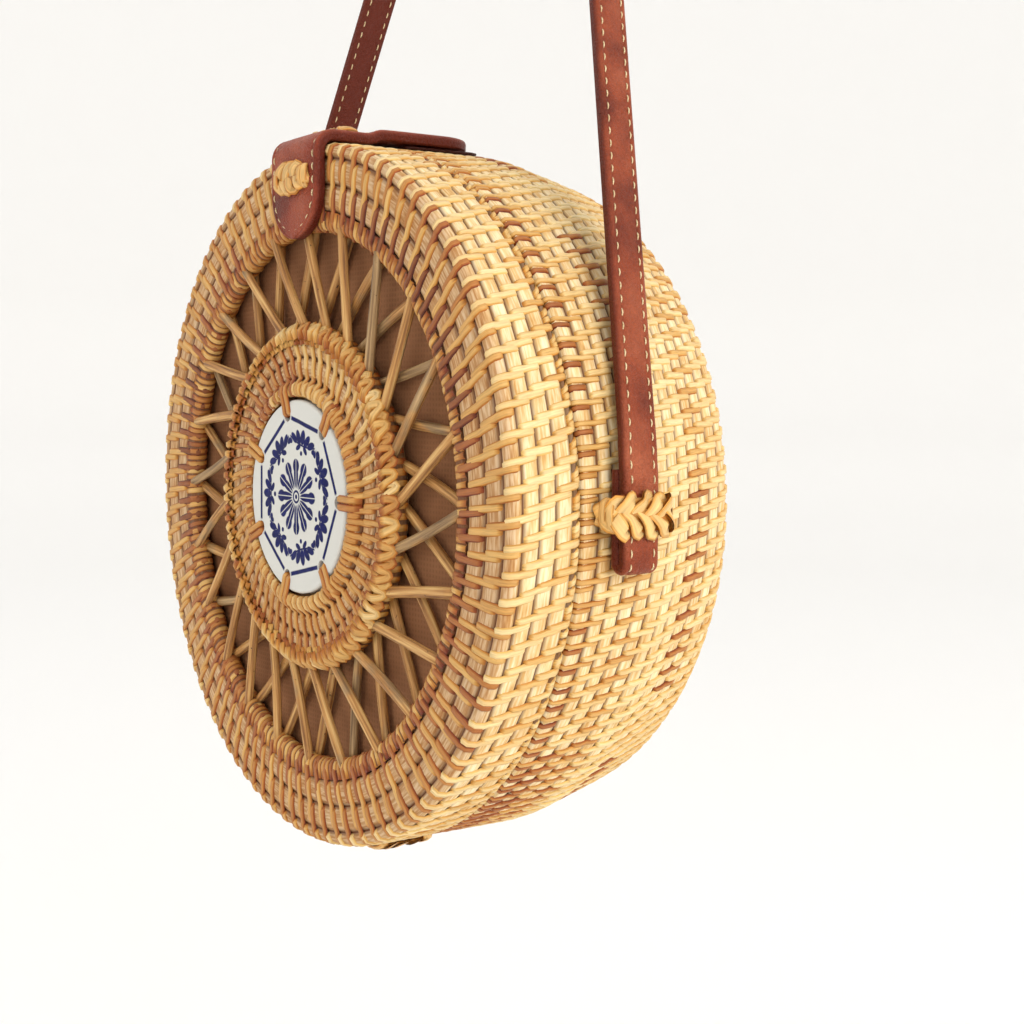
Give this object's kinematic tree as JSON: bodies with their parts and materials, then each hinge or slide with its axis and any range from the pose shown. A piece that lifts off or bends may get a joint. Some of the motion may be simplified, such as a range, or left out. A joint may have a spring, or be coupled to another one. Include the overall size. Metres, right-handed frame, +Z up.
{
  "type": "round woven handbag",
  "caption": "Round woven vine handbag with a cane grille and porcelain disc on its face, opening in two halves on lashed hinges, with a snap flap and a leather shoulder strap.",
  "frame": {"origin": "under the middle of the part's box: middle of its width and depth, at the lowest point of the hinge lashings", "axes": "+X to the right seen from the grille side, +Y from the grille to the plain back, +Z up towards the top of the shoulder strap"},
  "size_m": [0.2192, 0.0988, 0.4141],
  "materials": {
    "vine_core": "dry split vine, matt, pale straw",
    "vine_binding": "dry vine binding, matt, amber brown",
    "cane": "smooth round cane, matt, tan, some of it weathered grey",
    "knot_vine": "peeled vine lashing, satin, honey yellow",
    "lining_cloth": "plain woven cotton, brown",
    "porcelain": "white porcelain with cobalt blue brushwork under a clear glaze",
    "closing_leather": "reddish brown leather, satin, cream stitching",
    "patch_leather": "dark brown leather, satin",
    "strap_leather": "chestnut brown leather, satin, cream stitching",
    "snap_metal": "aged brass, satin"
  },
  "bodies": {
    "strap": {"shoulder_strap": "strap_leather"},
    "rear_half": {"rear_shell": "vine_core", "rear_rim": "vine_binding", "rear_lining": "lining_cloth", "catch_patch": "patch_leather", "snap_stud": "snap_metal", "side_knot_right": "knot_vine", "side_knot_left": "knot_vine", "hinge_lashings_rear": "knot_vine"},
    "front_half": {"front_shell": "vine_core", "front_rim": "vine_binding", "opening_edge": "vine_binding", "front_lining": "lining_cloth", "canes_front": "cane", "canes_rear": "cane", "hub_ring": "vine_binding", "hub_edge": "vine_binding", "porcelain_disc": "porcelain", "disc_lashings": "knot_vine", "closure_strap": "closing_leather", "closure_knot_face": "knot_vine", "closure_knot_top": "knot_vine", "hinge_lashings_front": "knot_vine"},
    "flap": {"closure_flap": "closing_leather", "snap_socket": "snap_metal"}
  },
  "joints": [
    {"name": "strap_swing", "type": "hinge", "parent": "strap", "child": "rear_half", "pos_m": [0, -0.00869, 0.1032], "axis": [1, 0, 0], "range_deg": [-25, 15]},
    {"name": "front_opening", "type": "hinge", "parent": "rear_half", "child": "front_half", "pos_m": [0, -0.02254, 0.002], "axis": [1, 0, 0], "range_deg": [0, 100]},
    {"name": "flap_lift", "type": "hinge", "parent": "front_half", "child": "flap", "pos_m": [0, -0.02609, 0.20765], "axis": [1, 0, 0], "range_deg": [0, 105]}
  ]
}
